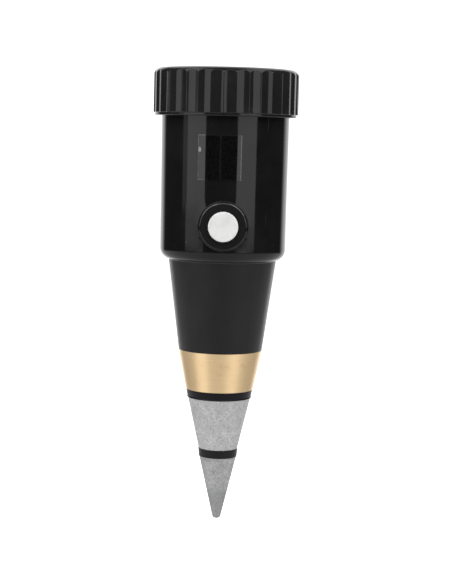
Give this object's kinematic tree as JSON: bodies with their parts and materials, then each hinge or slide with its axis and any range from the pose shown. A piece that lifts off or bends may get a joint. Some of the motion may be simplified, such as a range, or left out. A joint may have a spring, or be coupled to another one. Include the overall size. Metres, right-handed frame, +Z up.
{
  "type": "analog soil pH and moisture tester",
  "caption": "Plug-in analog soil tester: fluted screw cap over a dial meter, black body with a push button, and a tapering probe of brass and grey metal electrodes.",
  "frame": {"origin": "point of the probe's tip, on the long axis", "axes": "+Z up along the long axis from tip to cap, -Y to the front, where the push button is, +X to the right seen from the front"},
  "size_m": [0.0508, 0.0508, 0.16],
  "materials": {
    "housing_black": "gloss on the barrel, satin on the cone",
    "cap_black": "gloss",
    "clear_window": "clear polished",
    "gasket_rubber": "matte",
    "dial_ring_black": "matte",
    "dial_print": "satin printed",
    "screw_steel": "bright",
    "case_black": "matte",
    "magnet_alloy": "ground",
    "yoke_iron": "plated",
    "spacer_brass": "turned",
    "coil_copper": "enamelled copper wire",
    "pivot_steel": "polished",
    "pointer_black": "matte",
    "hairspring_bronze": "bright",
    "bridge_brass": "satin",
    "nameplate_black": "gloss film",
    "switch_black": "fine matte",
    "button_white": "gloss",
    "spring_steel": "drawn",
    "contact_copper": "plated copper",
    "nut_steel": "plated",
    "board_green": "solder mask",
    "resistor_body": "lacquer with colour bands",
    "electrode_brass": "satin turned",
    "electrode_grey": "dull, mottled by oxide",
    "tip_grey": "dull, mottled by oxide",
    "collar_black": "satin",
    "rod_steel": "plain",
    "tube_brass": "drawn",
    "seal_rubber": "matte",
    "washer_fibre": "red fibre",
    "tag_tin": "tinned",
    "lead_red": "PVC",
    "lead_black": "PVC",
    "lead_blue": "PVC"
  },
  "bodies": {
    "housing": {"dial_ring": "dial_ring_black", "housing": "housing_black", "nameplate": "nameplate_black", "switch_bush": "switch_black", "switch_spring": "spring_steel", "switch_case": "switch_black", "switch_terminals": "contact_copper", "switch_washer": "nut_steel", "switch_nut": "nut_steel", "circuit_board": "board_green", "resistors": "resistor_body", "meter_case": "case_black", "dial_plate": "dial_print", "dial_screws": "screw_steel", "bridge_screws": "screw_steel", "movement_screws": "screw_steel", "core_magnet": "magnet_alloy", "yoke_ring": "yoke_iron", "core_spacers": "spacer_brass", "upper_hairspring": "hairspring_bronze", "lower_hairspring": "hairspring_bronze", "upper_bridge": "bridge_brass", "lower_bridge": "bridge_brass", "jewel_screws": "screw_steel", "meter_terminals": "tag_tin", "tip_electrode": "tip_grey", "lower_collar": "collar_black", "ring_electrode": "electrode_grey", "upper_collar": "collar_black", "brass_electrode": "electrode_brass", "probe_seal": "seal_rubber", "tie_rod": "rod_steel", "contact_tube": "tube_brass", "clamp_washer": "rod_steel", "clamp_nut": "nut_steel", "tip_washer": "washer_fibre", "tip_nut": "nut_steel", "brass_contact_screw": "screw_steel", "solder_tags": "tag_tin", "lead_tip": "lead_blue", "lead_ring": "lead_black", "lead_brass": "lead_red", "lead_meter_left": "lead_red", "lead_meter_right": "lead_black"},
    "button": {"switch_button": "button_white", "contact_bridge": "contact_copper"},
    "needle": {"moving_coil": "coil_copper", "coil_pivots": "pivot_steel", "pointer": "pointer_black", "balance_weights": "spacer_brass"},
    "window": {"window": "clear_window", "window_gasket": "gasket_rubber"},
    "screw_cap": {"screw_cap": "cap_black"}
  },
  "joints": [
    {"name": "button_press", "type": "slide", "parent": "housing", "child": "button", "axis": [0, 1, 0], "range_m": [0, 0.0018], "stiffness_N_per_m": 300, "springref_m": -0.001, "deforming": ["switch_spring"]},
    {"name": "pointer_swing", "type": "hinge", "parent": "housing", "child": "needle", "pos_m": [0, -0.0065, 0.149], "axis": [0, 0, 1], "range_deg": [-90, 0], "stiffness_Nm_per_rad": 0.000005, "deforming": ["upper_hairspring", "lower_hairspring"]},
    {"name": "cap_lift", "type": "slide", "parent": "housing", "child": "window", "axis": [0, 0, 1], "range_m": [0, 0.006]},
    {"name": "cap_turn", "type": "hinge", "parent": "window", "child": "screw_cap", "pos_m": [0, 0, 0.15], "axis": [0, 0, 1], "range_deg": [0, 720.1]}
  ],
  "couplings": [
    {"joint": "cap_turn", "follows": "cap_lift", "rad_per_m": 2094.4}
  ]
}
